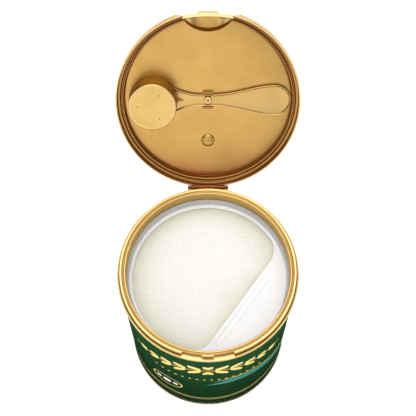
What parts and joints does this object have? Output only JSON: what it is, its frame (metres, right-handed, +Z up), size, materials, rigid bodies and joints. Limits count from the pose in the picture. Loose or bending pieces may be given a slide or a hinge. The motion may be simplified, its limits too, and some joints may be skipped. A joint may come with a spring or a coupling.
{
  "type": "milk powder tin",
  "caption": "Opened round tin of milk powder with a hinged plastic lid, a scoop clipped inside the lid and an inner ring with a levelling shelf.",
  "frame": {"origin": "middle of the open tin's footprint, on the surface that it stands on", "axes": "+Z up, -Y towards the tin's front, +Y towards the hinge, X along the hinge axis"},
  "size_m": [0.1324, 0.2276, 0.2562],
  "materials": {
    "painted_tin": "glossy dark green print with gold, teal and white fields",
    "plain_tin": "gold-lacquered tinplate",
    "gold_plastic": "satin metallic gold",
    "white_plastic": "smooth white",
    "milk_powder": "fine cream-white powder"
  },
  "bodies": {
    "tin": {"can_body": "painted_tin", "can_base": "plain_tin", "collar": "gold_plastic", "leveller": "white_plastic", "powder": "milk_powder"},
    "lid_part": {"lid": "gold_plastic", "scoop": "gold_plastic"}
  },
  "joints": [
    {"name": "lid_hinge", "type": "hinge", "parent": "tin", "child": "lid_part", "pos_m": [0, 0.01747, 0.1583], "axis": [1, 0, 0], "range_deg": [0, 132]}
  ]
}
